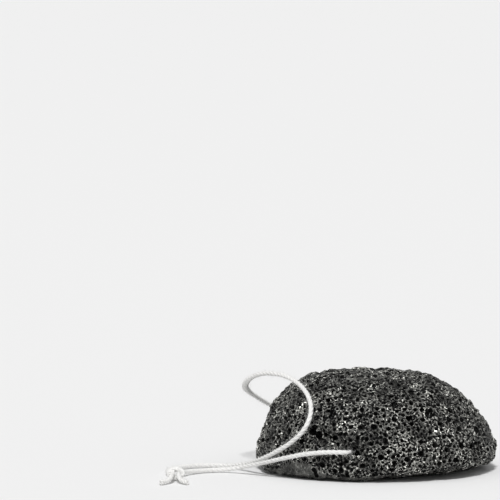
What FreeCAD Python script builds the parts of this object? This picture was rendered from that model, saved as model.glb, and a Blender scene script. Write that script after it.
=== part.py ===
import FreeCAD, Part

import math
import os

from FreeCAD import Vector

# A konjac sponge puff and its hanging cord, in millimetres.
# +X is the right of the front view, +Y is away from the viewer, +Z is up.
# The origin is the middle of the sponge's flat underside.

# The sponge: a half-ball of foam that stands on its flat side
sponge_length = 78.0
sponge_depth = 74.0
sponge_height = 32.0

# Its skin is drawn through rising rows of control points. A row holds its height as a share of the sponge's
# height, then how far it reaches to the left and right, as shares of half the length, and to the front and
# rear, as shares of half the depth. The crown stands left of the middle, and the right side slopes more.
row_shares = (
    (0.000, 0.905, 0.830, 0.870, 0.850),
    (0.021, 0.990, 0.965, 0.951, 0.944),
    (0.085, 0.990, 0.975, 0.995, 0.990),
    (0.220, 1.010, 1.016, 1.015, 1.018),
    (0.530, 0.896, 0.893, 0.898, 0.891),
    (0.690, 0.866, 0.775, 0.824, 0.822),
    (0.880, 0.659, 0.629, 0.593, 0.572),
    (1.000, 0.498, 0.310, 0.340, 0.335),
    (1.000, 0.077, -0.077, 0.000, 0.000),
)
skin_degree = 3

# How far the foot reaches in each direction, as a share of the two lowest rows, from the right round by the
# rear. The front right is tucked under, and a lobe stands out at the front left.
foot_rows = 2
foot_shares = (
    1.00, 1.00, 1.00, 0.99, 1.00, 1.01, 1.00, 0.99,
    1.00, 1.00, 1.01, 1.02, 0.90, 0.72, 0.70, 0.80,
)

# The crease that the cord draws into the front, from the left shoulder down to the front mouth.
# Its ends are shares of half the length, half the depth and the height.
crease_left_shares = (-0.56, -0.74, 0.505)
crease_right_shares = (-0.21, -0.97, 0.30)
crease_overrun = 4.0
crease_width = 5.0
crease_depth = 2.2

# The cord, of soft twisted cotton
cord_diameter = 1.5
arc_share = 0.45
channel_clearance = 0.15
mouth_radius = 2.4
mouth_depth = 5.0
overrun = 3.0

# The cord has pulled the front mouth out of round, so its middle lies this far right of the cord
front_mouth_shift = Vector(1.0, 0, 0)

# The knot that closes the loop: two strands side by side, with two turns drawn round them
knot_middle = Vector(-63.6, -28.7, 2.3)
knot_length = 4.6
strand_spacing = 2.0
knot_lead = 2.6
wrap_turns = 2
wrap_squeeze = 0.2
wrap_slant = 16.0

# The stretch inside the sponge is straight and level
front_exit = Vector(-9.3, -30.6, 9.8)
rear_exit = Vector(-20.45, 33.0, 9.8)

# Free stretches, from their exit up to the run that leads into the knot
front_points = (
    Vector(-8.75, -33.75, 9.8),
    Vector(-9.9, -35.75, 9.85),
    Vector(-12.9, -36.1, 9.9),
    Vector(-16.8, -34.8, 9.8),
    Vector(-22.0, -32.0, 9.0),
    Vector(-27.6, -28.1, 7.5),
    Vector(-43.0, -13.6, 2.0),
    Vector(-48.3, -10.7, 1.0),
    Vector(-54.0, -11.6, 0.9),
    Vector(-58.7, -15.2, 0.95),
    Vector(-61.4, -19.7, 1.3),
)
rear_points = (
    Vector(-21.38, 38.0, 9.8),
    Vector(-25.2, 41.6, 11.4),
    Vector(-30.6, 40.4, 13.9),
    Vector(-34.9, 35.9, 16.6),
    Vector(-41.0, 23.0, 22.0),
    Vector(-42.2, 16.3, 24.8),
    Vector(-40.9, 9.8, 27.6),
    Vector(-38.0, 4.2, 29.8),
    Vector(-34.0, -0.6, 30.8),
    Vector(-29.6, -5.6, 30.7),
    Vector(-25.3, -12.0, 29.2),
    Vector(-22.3, -19.0, 26.6),
    Vector(-21.0, -24.6, 23.4),
    Vector(-21.4, -27.8, 19.6),
    Vector(-23.6, -28.7, 15.5),
    Vector(-27.5, -26.7, 11.6),
    Vector(-32.4, -22.6, 8.0),
    Vector(-37.2, -16.0, 4.8),
    Vector(-41.4, -8.0, 2.3),
    Vector(-46.8, -1.9, 1.0),
    Vector(-53.2, 0.6, 0.9),
    Vector(-59.6, -1.5, 0.9),
    Vector(-64.4, -6.6, 0.9),
    Vector(-66.6, -13.4, 0.95),
    Vector(-66.0, -19.6, 1.3),
)

# The cut tails, from the run that leads out of the knot
front_tail_points = (
    Vector(-61.8, -36.6, 1.0),
    Vector(-59.7, -39.0, 0.9),
)
rear_tail_points = (
    Vector(-65.6, -36.8, 1.0),
    Vector(-68.0, -39.6, 0.9),
)

cord_radius = cord_diameter / 2
half_length = sponge_length / 2
half_depth = sponge_depth / 2


def skin_point(row, direction):
    """One control point of the skin, set out so that a round row comes out at its full size."""
    height_share, left_share, right_share, front_share, rear_share = row_shares[row]
    step = 2 * math.pi / len(foot_shares)
    reach = 3 / (2 + math.cos(step))
    if row < foot_rows:
        reach *= foot_shares[direction]
    across = half_length * (left_share + right_share) / 2
    along = half_depth * (front_share + rear_share) / 2
    return Vector(
        half_length * (right_share - left_share) / 2 + across * reach * math.cos(step * direction),
        half_depth * (rear_share - front_share) / 2 + along * reach * math.sin(step * direction),
        sponge_height * height_share,
    )


def make_dome():
    """The plain half-ball: a skin that closes at the crown, and the flat underside."""
    directions = len(foot_shares)
    rows = len(row_shares)
    spans = rows - skin_degree
    skin = Part.BSplineSurface()
    skin.buildFromPolesMultsKnots(
        [[skin_point(row, direction) for row in range(rows)] for direction in range(directions)],
        [1] * (directions + 1),
        [skin_degree + 1] + [1] * (spans - 1) + [skin_degree + 1],
        list(range(directions + 1)),
        list(range(spans + 1)),
        True,
        False,
        skin_degree,
        skin_degree,
    )
    side = skin.toShape()
    rim = min(side.Edges, key=lambda edge: edge.BoundBox.ZMax)
    underside = Part.Face(Part.Wire(rim))
    return Part.Solid(Part.Shell([side, underside.reversed()]))


def place_in_sponge(shares):
    """A point given as shares of half the length, half the depth and the height."""
    x_share, y_share, z_share = shares
    return Vector(half_length * x_share, half_depth * y_share, sponge_height * z_share)


def crease_cutter():
    """A stretched ball that lies along the crease and sinks into the front."""
    left = place_in_sponge(crease_left_shares)
    right = place_in_sponge(crease_right_shares)
    along = right - left
    half_run = along.Length / 2 + crease_overrun
    along.normalize()
    across = Vector(0, 0, 1) - along * along.z
    across.normalize()
    inward = along.cross(across)
    middle = (left + right) / 2
    columns = (along * half_run, across * (crease_width / 2), inward * crease_depth)
    matrix = FreeCAD.Matrix(
        columns[0].x, columns[1].x, columns[2].x, middle.x,
        columns[0].y, columns[1].y, columns[2].y, middle.y,
        columns[0].z, columns[1].z, columns[2].z, middle.z,
        0, 0, 0, 1,
    )
    return Part.makeSphere(1).transformGeometry(matrix)


def mouth_cutter(mouth, outward):
    """A funnel that opens from the channel to the mouth, and past it."""
    channel_radius = cord_radius + channel_clearance
    slope = (mouth_radius - channel_radius) / mouth_depth
    wide_end = mouth_radius + slope * overrun
    root = mouth - outward * mouth_depth
    return Part.makeCone(channel_radius, wide_end, mouth_depth + overrun, root, outward)


def make_sponge():
    """The half-ball, less its crease, the cord's channel and the channel's mouths."""
    dome = make_dome()
    axis = rear_exit - front_exit
    axis.normalize()
    start = front_exit - axis * sponge_depth
    end = rear_exit + axis * sponge_depth
    inside = Part.LineSegment(start, end).toShape().common(dome)
    mouths = sorted((v.Point for v in inside.Vertexes), key=lambda point: point.y)
    channel = Part.makeCylinder(
        cord_radius + channel_clearance, (end - start).Length, start, axis
    )
    front_mouth = mouth_cutter(mouths[0] + front_mouth_shift, -axis)
    rear_mouth = mouth_cutter(mouths[-1], axis)
    return dome.cut(crease_cutter()).cut([channel, front_mouth, rear_mouth])


def tube(name, points):
    """A round tube along straight runs joined by tangent arcs, each as large as its runs allow."""
    edges = []
    radii = []
    reached = points[0]
    for before, corner, after in zip(points, points[1:], points[2:]):
        arriving = corner - before
        leaving = after - corner
        tangent = arc_share * min(arriving.Length, leaving.Length)
        turn = arriving.getAngle(leaving)
        radius = tangent / math.tan(turn / 2)
        arriving.normalize()
        leaving.normalize()
        arc_start = corner - arriving * tangent
        arc_end = corner + leaving * tangent
        inward = (leaving - arriving).normalize()
        middle = corner + inward * (radius / math.cos(turn / 2) - radius)
        edges.append(Part.LineSegment(reached, arc_start).toShape())
        edges.append(Part.Arc(arc_start, middle, arc_end).toShape())
        radii.append(radius)
        reached = arc_end
    edges.append(Part.LineSegment(reached, points[-1]).toShape())
    path = Part.Wire(edges)
    section = Part.Wire(Part.makeCircle(cord_radius, points[0], points[1] - points[0]))
    solid = path.makePipeShell([section], True, False)
    expected = math.pi * cord_radius ** 2 * path.Length
    print(
        f"{name}: length {path.Length:.1f}, volume {solid.Volume / expected:.4f} of section times length,"
        f" radii {' '.join(f'{radius:.1f}' for radius in radii)}"
    )
    return solid


def knot_end(side, end):
    """The middle of a strand's face on the knot: side is 1 for the front strand, end is 1 for its way in."""
    return knot_middle + Vector(side * strand_spacing / 2, end * knot_length / 2, 0)


def strand_into_knot(exit_point, points, side):
    """A free stretch's route, with the straight lead into the knot."""
    entry = knot_end(side, 1)
    return (exit_point, *points, entry + Vector(0, knot_lead, 0), entry)


def tail_from_knot(points, side):
    """A tail's route, with the straight lead out of the knot."""
    way_out = knot_end(side, -1)
    return (way_out, way_out - Vector(0, knot_lead, 0), *points)


def wrap_ring():
    """One turn of cord round the two strands, on the knot's middle."""
    half_width = strand_spacing / 2
    half_height = cord_diameter - wrap_squeeze
    up = Vector(0, 0, half_height)
    out = Vector(half_height, 0, 0)
    right = knot_middle + Vector(half_width, 0, 0)
    left = knot_middle - Vector(half_width, 0, 0)
    path = Part.Wire([
        Part.LineSegment(left + up, right + up).toShape(),
        Part.Arc(right + up, right + out, right - up).toShape(),
        Part.LineSegment(right - up, left - up).toShape(),
        Part.Arc(left - up, left - out, left + up).toShape(),
    ])
    section = Part.Wire(Part.makeCircle(cord_radius, left + up, Vector(1, 0, 0)))
    return path.makePipeShell([section], True, False)


def make_knot():
    """The two strands that pass through the knot, and the slanted turns drawn tight round them."""
    strands = [
        Part.makeCylinder(cord_radius, knot_length, knot_end(side, 1), Vector(0, -1, 0))
        for side in (1, -1)
    ]
    step = cord_diameter - wrap_squeeze
    turns = []
    for turn in range(wrap_turns):
        ring = wrap_ring()
        ring.rotate(knot_middle, Vector(0, 0, 1), wrap_slant)
        ring.translate(Vector(0, step * (turn - (wrap_turns - 1) / 2), 0))
        turns.append(ring)
    return strands[0].fuse([strands[1], *turns])


def make_parts():
    """Every piece by its node's name."""
    axis = rear_exit - front_exit
    return {
        "sponge_body": make_sponge(),
        "cord_threaded": Part.makeCylinder(cord_radius, axis.Length, front_exit, axis),
        "cord_front_strand": tube(
            "cord_front_strand", strand_into_knot(front_exit, front_points, 1)
        ),
        "cord_rear_strand": tube(
            "cord_rear_strand", strand_into_knot(rear_exit, rear_points, -1)
        ),
        "loop_knot": make_knot(),
        "cord_tail_front": tube("cord_tail_front", tail_from_knot(front_tail_points, 1)),
        "cord_tail_rear": tube("cord_tail_rear", tail_from_knot(rear_tail_points, -1)),
    }


os.makedirs("parts", exist_ok=True)
for node, shape in make_parts().items():
    shape.exportStep(f"parts/{node}.step")
    box = shape.optimalBoundingBox()
    print(
        f"{node}: {len(shape.Solids)} solid, valid {shape.isValid()}, volume {shape.Volume:.1f},"
        f" X {box.XMin:.2f} to {box.XMax:.2f}, Y {box.YMin:.2f} to {box.YMax:.2f},"
        f" Z {box.ZMin:.2f} to {box.ZMax:.2f}"
    )
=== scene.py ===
"""Looks for the konjac sponge: open-pored charcoal foam, a twisted white cotton cord and its knot."""

import math

import bpy
import numpy as np
import openvdb
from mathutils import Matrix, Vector
from mathutils.bvhtree import BVHTree
from mathutils.kdtree import KDTree


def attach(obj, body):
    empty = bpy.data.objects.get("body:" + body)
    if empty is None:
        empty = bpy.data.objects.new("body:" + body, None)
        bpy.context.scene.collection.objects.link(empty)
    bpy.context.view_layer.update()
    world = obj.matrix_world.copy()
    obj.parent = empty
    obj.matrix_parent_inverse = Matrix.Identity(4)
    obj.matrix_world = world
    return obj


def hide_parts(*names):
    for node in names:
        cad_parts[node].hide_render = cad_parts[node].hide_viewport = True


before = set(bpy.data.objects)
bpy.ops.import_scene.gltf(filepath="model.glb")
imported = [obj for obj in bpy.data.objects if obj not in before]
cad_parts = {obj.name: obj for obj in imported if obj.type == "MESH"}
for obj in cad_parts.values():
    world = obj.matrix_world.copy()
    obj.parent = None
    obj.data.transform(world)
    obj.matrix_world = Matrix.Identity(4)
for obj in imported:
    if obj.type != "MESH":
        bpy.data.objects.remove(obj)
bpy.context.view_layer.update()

# Lengths below are in millimetres, and this turns them into metres
MM = 0.001

# The photograph's camera
picture_size = 500
picture_focal = 3800
sensor_width = 36
camera_place = Vector((-40.3, -1210.3, 168.0))
camera_pitch = math.radians(4.62)
view_reach = 200

# The light: an even surround and one soft lamp from the front
surround_strength = 0.44
lamp_strength = 2.2
lamp_turn = math.radians(-4)
lamp_height = math.radians(58)
lamp_softness = math.radians(12)
floor_half_width = 40
floor_colour = (0.86, 0.86, 0.86)
floor_roughness = 0.9
floor_specular = 0.1
backdrop_colour = (0.91, 0.91, 0.91)

# The foam's grid, in millimetres and voxels
foam_voxel = 0.3
band_depth = 4.5
grid_margin = 3

# Lumps that stand out of the foam's skin: how wide they are and how high
lump_sizes = ((13.0, 0.35), (6.0, 0.5), (2.2, 0.85), (1.0, 0.65), (0.6, 0.25))

# The lumpy skin is sunk by this much, so that its outline keeps to the CAD's, and stands just off the floor
skin_drop = 0.35
floor_gap = 0.03
foam_seed = 11

# Pores, from the largest kind to the smallest: the range of their radii and the least skin left between
# two of them
pore_kinds = (
    {"radii": (0.70, 1.00), "wall": 2.4},
    {"radii": (0.42, 0.74), "wall": 0.32},
    {"radii": (0.29, 0.42), "wall": 0.12},
)
pore_tries = 70000
pore_reach = 5.0

# A pore is a stretched ball sunk by a share of its radius, with a narrower ball further in
pore_depth_shares = (0.05, 0.35)
pore_stretch = (0.72, 1.35)
hole_share = 1.35
hole_narrowing = 0.85
rim_reach = 0.6

# How the skin is found along the camera's rays, in millimetres and steps, and how far apart, in voxels, its
# slope is taken
ray_start = 2.0
ray_steps = 20
slope_reach = 4

# The room that the foam leaves round the cord, along this much of each strand
groove_clearance = 0.1
groove_length = 130

# Large pores that the photograph shows, by pixel, with their radius
large_pores = (
    (411, 393, 1.2),
    (429, 414.5, 1.05),
    (422, 410, 1.0),
    (394.5, 405, 1.0),
    (409, 418.5, 0.8),
    (423, 420, 0.8),
    (408.6, 429.5, 0.75),
    (418, 429.5, 0.8),
    (430, 432.5, 0.95),
    (421, 442, 0.8),
    (444, 437, 0.8),
    (386, 441, 1.1),
    (374, 427, 1.0),
    (431, 397, 0.8),
    (387.5, 380, 0.6),
    (391, 384, 0.7),
    (398.7, 385.5, 0.75),
    (420, 377.5, 0.6),
    (374, 386.5, 0.8),
    (402, 432.7, 0.7),
    (402, 440.7, 0.7),
    (372, 394, 0.8),
    (383, 410, 0.7),
    (404.5, 409.5, 0.6),
    (460, 400.5, 0.6),
    (325, 419, 1.0),
    (421, 454, 0.95),
    (456, 460, 1.0),
    (476, 430, 1.5),
    (333, 413, 1.1),
    (331, 417, 0.9),
    (316.5, 418, 0.9),
    (320, 410, 0.7),
    (307, 419, 0.7),
    (315, 427, 1.0),
    (313, 432.5, 1.1),
    (319, 435, 1.0),
    (326, 434.5, 0.8),
    (335.5, 437.5, 1.0),
    (334, 424.5, 0.6),
    (345.5, 434.5, 1.0),
    (351, 427, 0.8),
    (361, 427.5, 0.9),
    (357.5, 438, 0.9),
    (355, 410, 0.9),
    (362, 410, 0.9),
    (302, 441.5, 0.8),
    (319, 373.5, 1.0),
    (322, 465, 0.9),
    (335, 471, 0.8),
    (347, 473.5, 0.7),
    (341, 464.5, 0.7),
    (353.5, 450.5, 1.2),
    (357, 453, 1.0),
    (314, 470, 0.7),
    (315.5, 472.5, 0.9),
    (316.5, 475.5, 0.8),
)

# The smooth skin that rises from the foot, and stands higher on the lobe at the front left
foot_rise = 1.7
foot_margin = 0.4
foot_smoothness = 0.5
lobe_rise = 4.2
lobe_place = -25.0
lobe_width = 6.0

# The foam's shading: the scale of each texture, and what its ramp makes of it. Most ramps paint light and
# shade into the colour; the patches are tone that differs at random.
pit_scale = 950.0
cell_scale = 1800.0
grain_scale = 3200.0
patch_scale = 160.0
glint_speck_scale = 1300.0
gloss_scale = 90.0
patch_stops = ((0.34, 0.030), (0.50, 0.084), (0.66, 0.165))
# Pits and cells: painted shade in their middles and a painted highlight round their edges; the same ramps
# also give the heights of the bumps
pit_stops = ((0.38, 0.02), (0.44, 3.6), (0.58, 0.95))
cell_stops = ((0.33, 0.06), (0.42, 2.4), (0.58, 0.9))
# Painted highlight: the skin next to each pore is made up to 4.6 times brighter
painted_rim_highlight_stops = ((0.0, 4.6), (0.24, 1.0))
# Painted shade: the foam's colour darkens with a point's depth below the skin, so the pores fall into shade
painted_pore_shade_stops = ((0.03, 1.0), (0.12, 0.25), (0.26, 0.02))
# Painted glints: sparse specks where the colour is made up to four times brighter
painted_glint_stops = ((0.56, 1.0), (0.68, 4.0))
foam_tint = (1.0, 1.0, 0.93)
gloss_range = (0.40, 0.58)
foam_roughness = (0.55, 0.20)
foam_specular = 0.3

# Strength and height of the foam's bumps
pit_bump = (1.0, 0.30)
cell_bump = (0.8, 0.15)
grain_bump = (0.6, 0.15)

# The flat map of the foam: the height that it is seen round, the angle from the crown where the underside
# begins, and the middle, size and half angle of the dome's disc and of the underside's
map_height = 8.0
underside_angle = math.radians(112)
dome_disc = (0.355, 0.34, math.radians(58))
underside_disc = (0.85, 0.14, math.radians(36))

# The cord: three plies twisted together
cord_diameter = 1.5
ply_count = 3
ply_radius = 0.47
ply_offset = 0.28
ply_sides = 10
twist_pitch = 5.2
ply_swell = 0.05
swell_rates = (1.1, 2.3)
swell_phases = (0, 6)
side_hint = (0.3, 0.2, 1.0)
route_steps = 24
threaded_steps = 240

# Along a strand from its mouth: the foam holds it thin at first, and the rear loop lies looser in its bend
held_share = 0.5
held_from = 2.5
held_to = 7.0
loose_middle = 45.0
loose_spread = 9.0
loose_share = 0.5

# At a cut end the plies spread and thin over this length
flare_length = 2.6
flare_spread = 1.6
flare_thinning = 0.45
tail_flare = 0.5

# The cotton's shading: its fibre lines run along each ply
fibre_stretch = (9.0, 1.1, 1.0)
fibre_slant = math.radians(6)
fibre_scale = 1.6
cotton_stops = ((0.25, (0.70, 0.69, 0.66)), (0.5, (0.88, 0.875, 0.86)), (0.75, (0.95, 0.95, 0.94)))
cotton_roughness = 0.85
cotton_sheen = 0.25
cotton_sheen_roughness = 0.5
cotton_bump = (0.7, 0.12)

# The cord's routes, as in the part's source
front_exit = (-9.3, -30.6, 9.8)
rear_exit = (-20.45, 33.0, 9.8)
front_route = (
    front_exit,
    (-8.75, -33.75, 9.8),
    (-9.9, -35.75, 9.85),
    (-12.9, -36.1, 9.9),
    (-16.8, -34.8, 9.8),
    (-22.0, -32.0, 9.0),
    (-27.6, -28.1, 7.5),
    (-43.0, -13.6, 2.0),
    (-48.3, -10.7, 1.0),
    (-54.0, -11.6, 0.9),
    (-58.7, -15.2, 0.95),
    (-61.4, -19.7, 1.3),
    (-62.6, -23.8, 2.3),
    (-62.6, -26.4, 2.3),
)
rear_route = (
    rear_exit,
    (-21.38, 38.0, 9.8),
    (-25.2, 41.6, 11.4),
    (-30.6, 40.4, 13.9),
    (-34.9, 35.9, 16.6),
    (-41.0, 23.0, 22.0),
    (-42.2, 16.3, 24.8),
    (-40.9, 9.8, 27.6),
    (-38.0, 4.2, 29.8),
    (-34.0, -0.6, 30.8),
    (-29.6, -5.6, 30.7),
    (-25.3, -12.0, 29.2),
    (-22.3, -19.0, 26.6),
    (-21.0, -24.6, 23.4),
    (-21.4, -27.8, 19.6),
    (-23.6, -28.7, 15.5),
    (-27.5, -26.7, 11.6),
    (-32.4, -22.6, 8.0),
    (-37.2, -16.0, 4.8),
    (-41.4, -8.0, 2.3),
    (-46.8, -1.9, 1.0),
    (-53.2, 0.6, 0.9),
    (-59.6, -1.5, 0.9),
    (-64.4, -6.6, 0.9),
    (-66.6, -13.4, 0.95),
    (-66.0, -19.6, 1.3),
    (-64.6, -23.8, 2.3),
    (-64.6, -26.4, 2.3),
)
front_tail_route = (
    (-62.6, -31.0, 2.3),
    (-62.6, -33.6, 2.3),
    (-61.8, -36.6, 1.0),
    (-59.7, -39.0, 0.9),
)
rear_tail_route = (
    (-64.6, -31.0, 2.3),
    (-64.6, -33.6, 2.3),
    (-65.6, -36.8, 1.0),
    (-68.0, -39.6, 0.9),
)
threaded_route = (front_exit, rear_exit)

# The knot: two strands through it, and the turns drawn round them
knot_middle = np.array((-63.6, -28.7, 2.3))
knot_length = 4.6
strand_spacing = 2.0
wrap_turns = 2.35
wrap_pitch = 1.35
wrap_reach = (2.2, 1.25)
wrap_tuck = 0.5
wrap_tuck_rate = 5
wrap_start = 0.6 * math.pi
wrap_lean = 0.35
wrap_steps = 150
strand_steps = 24

# Loose fibres: how many to a millimetre, their length and thickness, and how they stand off and bend
fibres_per_mm = 12
fibre_lengths = (0.5, 1.7)
fibre_radius = 0.02
fibre_taper = 0.7
fibre_joints = 5
fibre_sides = 3
fibre_root = 0.15
fibre_rises = (0.25, 0.9)
fibre_leans = (0.3, 1.6)
fibre_bend = 0.55
fibre_floor = 0.05
fibre_seed = 5
fuzz_scale = 300.0
fuzz_stops = ((0.3, (0.8, 0.8, 0.78)), (0.7, (0.95, 0.95, 0.94)))
fuzz_roughness = 0.9


def add_camera():
    data = bpy.data.cameras.new("photo_camera")
    data.sensor_width = sensor_width
    data.lens = picture_focal / picture_size * sensor_width
    data.clip_end = view_reach
    camera = bpy.data.objects.new("photo_camera", data)
    camera.location = camera_place * MM
    camera.rotation_euler = (math.pi / 2 - camera_pitch, 0, 0)
    bpy.context.collection.objects.link(camera)
    bpy.context.scene.camera = camera


def ray_through(pixel_x, pixel_y):
    """The direction from the camera through a pixel of the photograph's frame."""
    across = (pixel_x - picture_size / 2) / picture_focal
    down = (pixel_y - picture_size / 2) / picture_focal
    sine, cosine = math.sin(camera_pitch), math.cos(camera_pitch)
    return Vector((across, cosine - down * sine, -sine - down * cosine)).normalized()


def link(tree, output, target):
    tree.links.new(output, target)


def new_material(name):
    material = bpy.data.materials.new(name)
    material.use_nodes = True
    tree = material.node_tree
    return material, tree, tree.nodes["Principled BSDF"]


def add_node(tree, kind, **settings):
    """A node of this kind. A setting is an input's default if the node has an input of that name."""
    node = tree.nodes.new(kind)
    for name, value in settings.items():
        label = name.replace("_", " ").title()
        if label in node.inputs:
            node.inputs[label].default_value = value
        else:
            setattr(node, name, value)
    return node


def colour_ramp(tree, source, stops):
    ramp = tree.nodes.new("ShaderNodeValToRGB")
    elements = ramp.color_ramp.elements
    while len(elements) < len(stops):
        elements.new(0.5)
    for element, (position, colour) in zip(elements, stops):
        element.position = position
        element.color = (*colour, 1)
    link(tree, source, ramp.inputs["Fac"])
    return ramp.outputs["Color"]


def grey_ramp(tree, source, stops):
    return colour_ramp(tree, source, [(position, (grey, grey, grey)) for position, grey in stops])


def value_range(tree, source, old_range, new_range):
    node = tree.nodes.new("ShaderNodeMapRange")
    for name, value in zip(("From Min", "From Max", "To Min", "To Max"), (*old_range, *new_range)):
        node.inputs[name].default_value = value
    link(tree, source, node.inputs["Value"])
    return node.outputs["Result"]


def tint(tree, mode, share, first, second):
    """Two colours mixed in this mode."""
    node = tree.nodes.new("ShaderNodeMix")
    node.data_type = "RGBA"
    node.blend_type = mode
    sockets = (node.inputs["Factor"], node.inputs[6], node.inputs[7])
    for socket, value in zip(sockets, (share, first, second)):
        if isinstance(value, (int, float)):
            socket.default_value = value
        elif isinstance(value, tuple):
            socket.default_value = (*value, 1)
        else:
            link(tree, value, socket)
    return node.outputs[2]


def bump(tree, height, strength_and_distance, under=None):
    strength, distance = strength_and_distance
    node = tree.nodes.new("ShaderNodeBump")
    node.inputs["Strength"].default_value = strength
    node.inputs["Distance"].default_value = distance * MM
    link(tree, height, node.inputs["Height"])
    if under:
        link(tree, under, node.inputs["Normal"])
    return node.outputs["Normal"]


def foam_material():
    """Charcoal foam: painted shade deepening down the pores, fine pits and cells with painted shade in their
    middles and painted highlights round them, painted highlights on the pore rims, painted glint specks, and
    grains and glossier patches that catch the lamp.
    """
    material, tree, shader = new_material("konjac_foam")
    place = tree.nodes.new("ShaderNodeTexCoord").outputs["Object"]
    cavity = add_node(tree, "ShaderNodeAttribute", attribute_name="cavity").outputs["Fac"]
    rim = add_node(tree, "ShaderNodeAttribute", attribute_name="rim").outputs["Fac"]
    smooth = add_node(tree, "ShaderNodeAttribute", attribute_name="smooth").outputs["Fac"]
    pits = add_node(tree, "ShaderNodeTexVoronoi", scale=pit_scale)
    cells = add_node(tree, "ShaderNodeTexVoronoi", scale=cell_scale)
    grain = add_node(tree, "ShaderNodeTexNoise", scale=grain_scale, detail=2.0, roughness=0.6)
    patches = add_node(tree, "ShaderNodeTexNoise", scale=patch_scale, detail=3.0)
    glint_specks = add_node(tree, "ShaderNodeTexNoise", scale=glint_speck_scale, detail=1.0)
    gloss = add_node(tree, "ShaderNodeTexNoise", scale=gloss_scale, detail=2.0)
    for node in (pits, cells, grain, patches, glint_specks, gloss):
        link(tree, place, node.inputs["Vector"])

    colour = grey_ramp(tree, patches.outputs["Fac"], patch_stops)
    colour = tint(tree, "MULTIPLY", 1.0, colour, foam_tint)
    # fine pits and cells: painted shade in the middle, painted highlight round the edge
    pit_shade = grey_ramp(tree, pits.outputs["Distance"], pit_stops)
    cell_shade = grey_ramp(tree, cells.outputs["Distance"], cell_stops)
    # painted highlight along the pore rims
    painted_rim_highlight = grey_ramp(tree, rim, painted_rim_highlight_stops)
    # painted shade that deepens down the pores
    painted_pore_shade = grey_ramp(tree, cavity, painted_pore_shade_stops)
    # painted glints, as pale specks in the colour
    painted_glint = grey_ramp(tree, glint_specks.outputs["Fac"], painted_glint_stops)
    fine_shades = [
        tint(tree, "MIX", smooth, shade, (1.0, 1.0, 1.0)) for shade in (pit_shade, cell_shade, painted_glint)
    ]
    # Each shade multiplies the colour; these carry the painted shade, painted highlights and painted glints
    for shade in (*fine_shades, painted_rim_highlight, painted_pore_shade):
        colour = tint(tree, "MULTIPLY", 1.0, colour, shade)
    link(tree, colour, shader.inputs["Base Color"])

    roughness = value_range(tree, gloss.outputs["Fac"], gloss_range, foam_roughness)
    link(tree, roughness, shader.inputs["Roughness"])
    shader.inputs["Specular IOR Level"].default_value = foam_specular
    normal = bump(tree, fine_shades[0], pit_bump)
    normal = bump(tree, fine_shades[1], cell_bump, normal)
    link(tree, bump(tree, grain.outputs["Fac"], grain_bump, normal), shader.inputs["Normal"])
    return material


def cotton_material():
    """White cotton: fine fibre lines along each ply, and a soft sheen."""
    material, tree, shader = new_material("white_cotton")
    place = add_node(tree, "ShaderNodeUVMap", uv_map="fibre").outputs["UV"]
    stretch = tree.nodes.new("ShaderNodeMapping")
    stretch.inputs["Scale"].default_value = fibre_stretch
    stretch.inputs["Rotation"].default_value = (0, 0, fibre_slant)
    link(tree, place, stretch.inputs["Vector"])
    fibres = add_node(tree, "ShaderNodeTexNoise", scale=fibre_scale, detail=4.0, roughness=0.6)
    link(tree, stretch.outputs["Vector"], fibres.inputs["Vector"])
    colour = colour_ramp(tree, fibres.outputs["Fac"], cotton_stops)
    link(tree, colour, shader.inputs["Base Color"])
    shader.inputs["Roughness"].default_value = cotton_roughness
    shader.inputs["Sheen Weight"].default_value = cotton_sheen
    shader.inputs["Sheen Roughness"].default_value = cotton_sheen_roughness
    link(tree, bump(tree, fibres.outputs["Fac"], cotton_bump), shader.inputs["Normal"])
    return material


def new_mesh(name, points, faces_by_size, material):
    """An object from points in millimetres and arrays of faces, one array for each number of corners."""
    corners = np.concatenate([faces.ravel() for faces in faces_by_size]).astype(np.int32)
    sizes = np.concatenate([np.full(len(faces), faces.shape[1]) for faces in faces_by_size])
    starts = np.concatenate(([0], np.cumsum(sizes)[:-1])).astype(np.int32)
    mesh = bpy.data.meshes.new(name)
    mesh.vertices.add(len(points))
    mesh.vertices.foreach_set("co", (points * MM).astype(np.float32).ravel())
    mesh.loops.add(len(corners))
    mesh.loops.foreach_set("vertex_index", corners)
    mesh.polygons.add(len(sizes))
    mesh.polygons.foreach_set("loop_start", starts)
    mesh.polygons.foreach_set("use_smooth", np.ones(len(sizes), bool))
    mesh.update(calc_edges=True)
    mesh.materials.append(material)
    made = bpy.data.objects.new(name, mesh)
    bpy.context.collection.objects.link(made)
    return made


def node_mesh(node):
    """A CAD node's points in millimetres and its triangles."""
    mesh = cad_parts[node].data
    points = np.empty(len(mesh.vertices) * 3, np.float32)
    mesh.vertices.foreach_get("co", points)
    mesh.calc_loop_triangles()
    triangles = np.empty(len(mesh.loop_triangles) * 3, np.int32)
    mesh.loop_triangles.foreach_get("vertices", triangles)
    return points.reshape(-1, 3) / np.float32(MM), triangles.reshape(-1, 3).astype(np.uint32)


def spread_over_grid(rng, shape, width):
    """Smooth noise from -1 to 1 on the grid, in lumps of this width."""
    step = width / foam_voxel
    values = rng.uniform(-1, 1, [int(count / step) + 4 for count in shape]).astype(np.float32)
    for axis, count in enumerate(shape):
        at = np.arange(count) / step
        low = at.astype(int)
        part = at - low
        weights = np.zeros((count, values.shape[axis]), np.float32)
        shares = (
            (1 - part) ** 3 / 6,
            (3 * part**3 - 6 * part**2 + 4) / 6,
            (-3 * part**3 + 3 * part**2 + 3 * part + 1) / 6,
            part**3 / 6,
        )
        for offset, share in enumerate(shares):
            weights[np.arange(count), low + offset] = share
        values = np.moveaxis(np.tensordot(weights, values, axes=(1, axis)), 0, axis)
    return values / np.abs(values).max()


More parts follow.
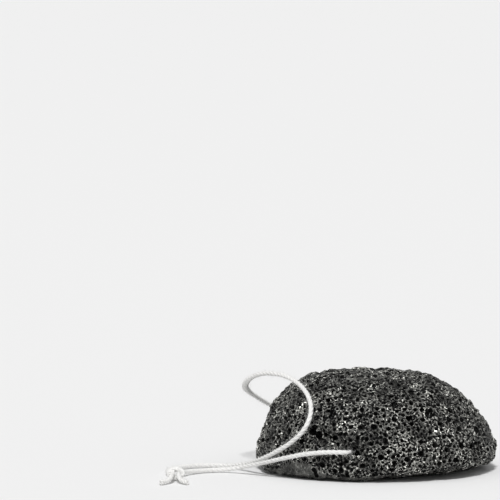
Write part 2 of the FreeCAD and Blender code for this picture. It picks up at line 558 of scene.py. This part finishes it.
def sample(field, places):
    """The field's value at places in voxels, between the eight voxels round each."""
    low = np.clip(np.floor(places).astype(int), 0, np.array(field.shape) - 2)
    part = places - low
    total = np.zeros(len(places), np.float32)
    for corner in np.ndindex(2, 2, 2):
        share = np.prod(np.where(corner, part, 1 - part), axis=1)
        at = low + corner
        total += share * field[at[:, 0], at[:, 1], at[:, 2]]
    return total


def way_in(skin, origin, places):
    """The direction into the foam at each place."""
    at = (places - origin) / foam_voxel
    slopes = [sample(skin, at - step) - sample(skin, at + step) for step in np.eye(3) * slope_reach]
    slopes = np.stack(slopes, 1)
    return slopes / np.maximum(np.linalg.norm(slopes, axis=1), 1e-6)[:, None]


def seen_places(skin, origin):
    """Places and radii of the large pores, where the camera's rays meet the lumpy skin."""
    points, triangles = node_mesh("sponge_body")
    surface = BVHTree.FromPolygons(points.tolist(), triangles.tolist())
    rays = [ray_through(pixel_x, pixel_y) for pixel_x, pixel_y, _ in large_pores]
    hits = np.array([surface.ray_cast(camera_place, ray)[0] for ray in rays])
    rays = np.array(rays)
    places = hits - rays * ray_start
    for _ in range(ray_steps):
        places += rays * sample(skin, (places - origin) / foam_voxel)[:, None]
    return zip(places, [radius for _, _, radius in large_pores])


def pore_places(rng, skin, origin):
    """Places and radii of all pores: those the photograph shows, then each kind that fits between."""
    grid = openvdb.FloatGrid(background=band_depth)
    grid.copyFromArray(skin)
    places = grid.convertToQuads(isovalue=0)[0] * foam_voxel + origin
    places = places[rng.permutation(len(places))[:pore_tries]]
    places = places[under_foot_skin(places) < 0]
    tree = KDTree(len(places))
    for number, place in enumerate(places):
        tree.insert(place, number)
    tree.balance()
    gaps = np.full(len(places), pore_reach)
    pores = []

    def take(place, radius):
        pores.append((place, radius))
        for _, number, distance in tree.find_range(place, radius + pore_reach):
            gaps[number] = min(gaps[number], distance - radius)

    for place, radius in seen_places(skin, origin):
        take(place, radius)
    for kind in pore_kinds:
        radii = rng.uniform(*kind["radii"], len(places))
        for number in np.flatnonzero(gaps >= radii + kind["wall"]):
            if gaps[number] >= radii[number] + kind["wall"]:
                take(places[number], radii[number])
    return np.array([place for place, _ in pores]), np.array([radius for _, radius in pores])


def under_foot_skin(places):
    """How deep each place lies under the top edge of the foot's smooth skin, in millimetres."""
    across, along, height = places.T
    lobe = lobe_rise * np.exp(-(((across - lobe_place) / lobe_width) ** 2)) * (along < 0)
    return np.where(height > foot_margin, foot_rise + lobe - height, -1)


def carve(field, origin, middle, radius, stretch):
    """Takes a stretched ball out of the field."""
    reach = radius * max(stretch) + rim_reach
    low = np.maximum(np.floor((middle - reach - origin) / foam_voxel).astype(int), 0)
    high = np.minimum(np.ceil((middle + reach - origin) / foam_voxel).astype(int) + 1, field.shape)
    if (high <= low).any():
        return
    axes = [
        ((np.arange(low[i], high[i]) * foam_voxel + origin[i] - middle[i]) / stretch[i]) ** 2
        for i in range(3)
    ]
    distance = np.sqrt(axes[0][:, None, None] + axes[1][None, :, None] + axes[2][None, None, :])
    window = tuple(slice(low[i], high[i]) for i in range(3))
    np.maximum(field[window], radius - distance, out=field[window])


def largest_piece(points, faces):
    """Only the points and faces of the one piece that has the most points."""
    pairs = np.concatenate([np.stack((faces[:, i], faces[:, i - 1]), 1) for i in range(faces.shape[1])])
    labels = np.arange(len(points))
    while True:
        lowest = np.minimum(labels[pairs[:, 0]], labels[pairs[:, 1]])
        found = labels.copy()
        np.minimum.at(found, pairs[:, 0], lowest)
        np.minimum.at(found, pairs[:, 1], lowest)
        found = found[found]
        found = found[found]
        if (found == labels).all():
            break
        labels = found
    main = np.bincount(labels).argmax()
    kept = labels == main
    numbers = np.cumsum(kept) - 1
    return points[kept], numbers[faces[kept[faces[:, 0]]]]


def flat_map(mesh):
    """Lays the dome out on a disc, as seen round its middle, and the underside on a smaller one."""
    corners = np.empty(len(mesh.loops), np.int32)
    mesh.loops.foreach_get("vertex_index", corners)
    points = np.empty(len(mesh.vertices) * 3, np.float32)
    mesh.vertices.foreach_get("co", points)
    points = points.reshape(-1, 3) / MM - np.array((0, 0, map_height))
    polar = np.arctan2(np.hypot(points[:, 0], points[:, 1]), points[:, 2])
    round_axis = np.arctan2(points[:, 1], points[:, 0])
    starts = np.empty(len(mesh.polygons), np.int32)
    mesh.polygons.foreach_get("loop_start", starts)
    counts = np.diff(np.append(starts, len(corners)))
    under = np.repeat(polar[corners[starts]] > underside_angle, counts)
    dome_middle, dome_size, dome_edge = dome_disc
    under_middle, under_size, under_edge = underside_disc
    reach = np.where(
        under,
        under_size * np.sin((math.pi - polar[corners]) / 2) / math.sin(under_edge),
        dome_size * np.sin(polar[corners] / 2) / math.sin(dome_edge),
    )
    centre = np.where(under, under_middle, dome_middle)
    places = np.stack(
        (
            centre + reach * np.cos(round_axis[corners]),
            centre + reach * np.sin(round_axis[corners]),
        ),
        1,
    )
    layer = mesh.uv_layers.new(name="OFBake")
    layer.uv.foreach_set("vector", places.astype(np.float32).ravel())


def set_values(made, name, values):
    """Gives each point of an object a value that its material reads by this name."""
    attribute = made.data.attributes.new(name, "FLOAT", "POINT")
    attribute.data.foreach_set("value", values.astype(np.float32))


def make_foam():
    """The sponge as open-pored foam: the CAD dome, made lumpy, less its pores."""
    rng = np.random.default_rng(foam_seed)
    points, triangles = node_mesh("sponge_body")
    low = np.floor(points.min(0) / foam_voxel).astype(int) - grid_margin
    high = np.ceil(points.max(0) / foam_voxel).astype(int) + grid_margin
    level = openvdb.FloatGrid.createLevelSetFromPolygons(
        points,
        triangles=triangles,
        transform=openvdb.createLinearTransform(voxelSize=foam_voxel),
        halfWidth=band_depth / foam_voxel,
    )
    skin = np.empty(high - low, np.float32)
    level.copyToArray(skin, ijk=tuple(int(i) for i in low))
    origin = low * foam_voxel
    for width, height in lump_sizes:
        skin -= height * spread_over_grid(rng, skin.shape, width)
    skin += skin_drop
    heights = origin[2] + np.arange(skin.shape[2]) * foam_voxel
    np.maximum(skin, floor_gap - heights.astype(np.float32), out=skin)

    places, radii = pore_places(rng, skin, origin)
    inward = way_in(skin, origin, places)
    inward[: len(large_pores)] = [ray_through(pixel_x, pixel_y) for pixel_x, pixel_y, _ in large_pores]
    hollow = np.full_like(skin, -band_depth)
    stretches = rng.uniform(*pore_stretch, (len(places), 3))
    depths = rng.uniform(*pore_depth_shares, len(places)) * radii
    for place, radius, stretch, way, depth in zip(places, radii, stretches, inward, depths):
        middle = place + way * depth
        carve(hollow, origin, middle, radius, stretch)
        carve(hollow, origin, middle + way * radius * hole_share, radius * hole_narrowing, stretch)
    groove = np.full_like(skin, -band_depth)
    routes = (front_route, rear_route, threaded_route)
    for route, steps in zip(routes, (route_steps, route_steps, threaded_steps)):
        line = route_line("groove", route, steps)
        for place in line[length_along(line) < groove_length]:
            carve(groove, origin, place, cord_diameter / 2 + groove_clearance, (1, 1, 1))
    foam = np.maximum(np.maximum(skin, hollow), groove)

    grid = openvdb.FloatGrid(background=band_depth)
    grid.copyFromArray(foam)
    points, faces = grid.convertToQuads(isovalue=0)
    points, faces = largest_piece(points, faces.astype(np.int64))
    sponge = new_mesh("sponge_foam", points * foam_voxel + origin, [faces[:, ::-1]], foam_material())
    smooth = under_foot_skin(points * foam_voxel + origin)
    # cavity is the depth below the lumpy skin, which the material turns into painted shade
    set_values(sponge, "cavity", np.clip(-sample(skin, points), 0, 1))
    # rim is the nearness to a pore, which the material turns into a painted highlight
    set_values(sponge, "rim", np.clip(-sample(hollow, points), 0, 1))
    set_values(sponge, "smooth", np.clip(smooth, 0, foot_smoothness))
    flat_map(sponge.data)
    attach(sponge, "sponge")
    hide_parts("sponge_body")


def route_line(name, route, steps=route_steps):
    """Points along the smooth line that a route's points control."""
    curve = bpy.data.curves.new(name, "CURVE")
    curve.dimensions = "3D"
    spline = curve.splines.new("NURBS")
    spline.points.add(len(route) - 1)
    for point, place in zip(spline.points, route):
        point.co = (*place, 1)
    spline.order_u = min(3, len(route))
    spline.use_endpoint_u = True
    spline.resolution_u = steps
    holder = bpy.data.objects.new(name, curve)
    mesh = bpy.data.meshes.new_from_object(holder)
    points = np.array([vertex.co for vertex in mesh.vertices])
    bpy.data.meshes.remove(mesh)
    bpy.data.objects.remove(holder)
    bpy.data.curves.remove(curve)
    return points


def length_along(line):
    steps = np.linalg.norm(np.diff(line, axis=0), axis=1)
    return np.concatenate(([0], np.cumsum(steps)))


def frames_along(line):
    """At each point: the way ahead and two directions square to it, which turn as little as they can."""
    ahead = np.gradient(line, axis=0)
    ahead /= np.linalg.norm(ahead, axis=1)[:, None]
    sides = np.empty_like(line)
    side = np.cross(ahead[0], side_hint)
    for i, way in enumerate(ahead):
        side = side - way * side.dot(way)
        side /= np.linalg.norm(side)
        sides[i] = side
    return ahead, sides, np.cross(ahead, sides)


def tube_faces(rings, sides, first=0):
    """Quads between rings of points, numbered from first."""
    ring, side = np.meshgrid(np.arange(rings - 1), np.arange(sides), indexing="ij")
    after = (side + 1) % sides
    quads = np.stack(
        (ring * sides + side, ring * sides + after, (ring + 1) * sides + after, (ring + 1) * sides + side), -1
    )
    return quads.reshape(-1, 4) + first


def twisted_cord(name, line, material, flare=0.0, fullness=1.0):
    """Plies twisted round a line, at a fullness. With flare, they spread and thin towards its end."""
    rng = np.random.default_rng(len(line))
    along = length_along(line)
    ahead, sides, ups = frames_along(line)
    loose = flare * np.clip(1 - (along[-1] - along) / flare_length, 0, 1) ** 2
    points = []
    faces = []
    places = []
    turn = np.linspace(0, 2 * math.pi, ply_sides, endpoint=False)
    for ply in range(ply_count):
        angle = 2 * math.pi * (ply / ply_count + along / twist_pitch)
        swell = 1 + ply_swell * np.sin(along * rng.uniform(*swell_rates) + rng.uniform(*swell_phases))
        offset = ply_offset * (1 + flare_spread * loose) * fullness
        radius = ply_radius * swell * (1 - flare_thinning * loose) * fullness
        outward = np.cos(angle)[:, None] * sides + np.sin(angle)[:, None] * ups
        across = np.cross(ahead, outward)
        middles = line + outward * offset[:, None]
        rings = (
            middles[:, None]
            + radius[:, None, None] * np.cos(turn)[None, :, None] * outward[:, None]
            + radius[:, None, None] * np.sin(turn)[None, :, None] * across[:, None]
        )
        first = sum(len(some) for some in points)
        points.append(rings.reshape(-1, 3))
        faces.append(tube_faces(len(line), ply_sides, first))
        round_ply = np.tile(np.arange(ply_sides) / ply_sides, len(line) - 1)
        near = np.repeat(along[:-1], ply_sides)
        far = np.repeat(along[1:], ply_sides)
        next_round = round_ply + 1 / ply_sides
        places.append(
            np.stack(
                (
                    np.stack((round_ply, near), -1),
                    np.stack((next_round, near), -1),
                    np.stack((next_round, far), -1),
                    np.stack((round_ply, far), -1),
                ),
                1,
            ).reshape(-1, 2)
        )
    quads = np.concatenate(faces)
    rings = len(line) * ply_sides
    firsts = np.arange(ply_count)[:, None] * rings
    near_ends = firsts + np.arange(ply_sides)[::-1]
    far_ends = firsts + rings - ply_sides + np.arange(ply_sides)
    ends = np.concatenate((near_ends, far_ends))
    made = new_mesh(name, np.concatenate(points), [quads, ends], material)
    layer = made.data.uv_layers.new(name="fibre")
    end_places = np.zeros((ends.size, 2))
    layer.uv.foreach_set("vector", np.concatenate(places + [end_places]).astype(np.float32).ravel())
    return made


def strand_fullness(line, loose):
    """How full the strand is at each point, as a share of its plain thickness."""
    along = length_along(line)
    free = np.clip((along - held_from) / (held_to - held_from), 0, 1)
    bend = np.exp(-(((along - loose_middle) / loose_spread) ** 2))
    return (held_share + (1 - held_share) * free) * (1 + loose * bend)


def knot_wrap_line():
    """The line of the cord that is drawn round the two strands, with both its ends tucked in."""
    share = np.linspace(0, 1, wrap_steps)
    angle = 2 * math.pi * wrap_turns * share + wrap_start
    tuck = np.clip(np.minimum(share, 1 - share) * wrap_turns * wrap_tuck_rate, 0, 1)
    tuck = wrap_tuck + (1 - wrap_tuck) * tuck * tuck * (3 - 2 * tuck)
    wide, high = wrap_reach
    return knot_middle + np.stack(
        (
            wide * tuck * np.cos(angle),
            wrap_pitch * wrap_turns * (share - 0.5) + wrap_lean * np.cos(angle),
            high * tuck * np.sin(angle),
        ),
        1,
    )


def loose_fibres(name, lines, material):
    """Short fine hairs that stand off the cord all along these lines."""
    rng = np.random.default_rng(fibre_seed)
    roots = []
    outs = []
    aheads = []
    for line in lines:
        along = length_along(line)
        ahead, sides, ups = frames_along(line)
        count = int(fibres_per_mm * along[-1])
        at = np.searchsorted(along, rng.uniform(0, along[-1], count)).clip(0, len(line) - 1)
        angle = rng.uniform(0, 2 * math.pi, count)
        out = np.cos(angle)[:, None] * sides[at] + np.sin(angle)[:, None] * ups[at]
        roots.append(line[at] + out * (cord_diameter / 2 - fibre_root))
        outs.append(out)
        aheads.append(ahead[at])
    roots, outs, aheads = np.concatenate(roots), np.concatenate(outs), np.concatenate(aheads)
    count = len(roots)
    lengths = rng.uniform(*fibre_lengths, count)
    lean = aheads * rng.choice((-1, 1), count)[:, None] * rng.uniform(*fibre_leans, count)[:, None]
    start = outs * rng.uniform(*fibre_rises, count)[:, None] + lean
    start /= np.linalg.norm(start, axis=1)[:, None]
    bend = rng.normal(0, fibre_bend, (count, 3))
    share = np.linspace(0, 1, fibre_joints)
    lines = (
        roots[:, None]
        + lengths[:, None, None] * share[None, :, None] * start[:, None]
        + lengths[:, None, None] * (share**2)[None, :, None] * bend[:, None]
    )
    lines[:, :, 2] = np.maximum(lines[:, :, 2], fibre_floor)
    side = np.cross(start, rng.normal(size=(count, 3)))
    side /= np.linalg.norm(side, axis=1)[:, None]
    up = np.cross(start, side)
    turn = np.linspace(0, 2 * math.pi, fibre_sides, endpoint=False)
    ring = np.cos(turn)[:, None, None] * side[None] + np.sin(turn)[:, None, None] * up[None]
    taper = fibre_radius * (1 - fibre_taper * share)
    points = lines[:, :, None] + taper[None, :, None, None] * ring.transpose(1, 0, 2)[:, None]
    one = tube_faces(fibre_joints, fibre_sides)
    faces = one[None] + (np.arange(count) * fibre_joints * fibre_sides)[:, None, None]
    return new_mesh(name, points.reshape(-1, 3), [faces.reshape(-1, 4)], material)


def fuzz_material():
    """The loose fibres: white cotton with faint spots."""
    material, tree, shader = new_material("cotton_fuzz")
    place = tree.nodes.new("ShaderNodeTexCoord").outputs["Object"]
    spots = add_node(tree, "ShaderNodeTexNoise", scale=fuzz_scale, detail=2.0)
    link(tree, place, spots.inputs["Vector"])
    colour = colour_ramp(tree, spots.outputs["Fac"], fuzz_stops)
    link(tree, colour, shader.inputs["Base Color"])
    shader.inputs["Roughness"].default_value = fuzz_roughness
    return material


def make_cord():
    """The whole cord, stretch by stretch, with its knot, cut tails and loose fibres."""
    cotton = cotton_material()
    front_line = route_line("front_route", front_route)
    rear_line = route_line("rear_route", rear_route)
    threaded_line = route_line("threaded_route", threaded_route, threaded_steps)
    front_tail_line = route_line("front_tail_route", front_tail_route)
    rear_tail_line = route_line("rear_tail_route", rear_tail_route)

    front = twisted_cord("cord_front", front_line, cotton, fullness=strand_fullness(front_line, 0))
    rear = twisted_cord("cord_rear", rear_line, cotton, fullness=strand_fullness(rear_line, loose_share))
    threaded = twisted_cord("cord_inside", threaded_line, cotton, fullness=held_share)
    front_tail = twisted_cord("cord_end_front", front_tail_line, cotton, flare=tail_flare)
    rear_tail = twisted_cord("cord_end_rear", rear_tail_line, cotton, flare=tail_flare)
    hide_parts("cord_front_strand")
    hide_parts("cord_rear_strand")
    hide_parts("cord_threaded")
    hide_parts("cord_tail_front")
    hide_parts("cord_tail_rear")

    wrap = twisted_cord("knot_turns", knot_wrap_line(), cotton)
    reach = np.array((0, knot_length / 2, 0))
    strands = []
    for side, name in ((1, "knot_strand_front"), (-1, "knot_strand_rear")):
        middle = knot_middle + np.array((side * strand_spacing / 2, 0, 0))
        line = np.linspace(middle + reach, middle - reach, strand_steps)
        strands.append(twisted_cord(name, line, cotton))
    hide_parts("loop_knot")

    fuzz = loose_fibres(
        "cord_fuzz", [front_line, rear_line, front_tail_line, rear_tail_line], fuzz_material()
    )
    for piece in (front, rear, threaded, front_tail, rear_tail, wrap, *strands, fuzz):
        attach(piece, "cord")


def make_stage():
    """A wide pale floor, the even surround and the lamp."""
    material, tree, shader = new_material("pale_floor")
    shader.inputs["Base Color"].default_value = (*floor_colour, 1)
    shader.inputs["Roughness"].default_value = floor_roughness
    shader.inputs["Specular IOR Level"].default_value = floor_specular
    mesh = bpy.data.meshes.new("floor")
    half = floor_half_width
    corners = [(-half, -half, 0), (half, -half, 0), (half, half, 0), (-half, half, 0)]
    mesh.from_pydata(corners, [], [(0, 1, 2, 3)])
    mesh.materials.append(material)
    floor = bpy.data.objects.new("floor", mesh)
    bpy.context.collection.objects.link(floor)

    world = bpy.data.worlds.new("surround")
    bpy.context.scene.world = world
    world.use_nodes = True
    tree = world.node_tree
    light = tree.nodes["Background"]
    light.inputs["Color"].default_value = (1, 1, 1, 1)
    light.inputs["Strength"].default_value = surround_strength
    seen = tree.nodes.new("ShaderNodeBackground")
    seen.inputs["Color"].default_value = (*backdrop_colour, 1)
    mix = tree.nodes.new("ShaderNodeMixShader")
    link(tree, tree.nodes.new("ShaderNodeLightPath").outputs["Is Camera Ray"], mix.inputs["Fac"])
    link(tree, light.outputs["Background"], mix.inputs[1])
    link(tree, seen.outputs["Background"], mix.inputs[2])
    link(tree, mix.outputs["Shader"], tree.nodes["World Output"].inputs["Surface"])

    lamp = bpy.data.lights.new("soft_lamp", "SUN")
    lamp.energy = lamp_strength
    lamp.angle = lamp_softness
    holder = bpy.data.objects.new("soft_lamp", lamp)
    holder.rotation_euler = (math.pi / 2 - lamp_height, 0, lamp_turn)
    bpy.context.collection.objects.link(holder)


add_camera()
make_stage()
make_cord()
make_foam()

bpy.context.scene.view_settings.view_transform = "Standard"
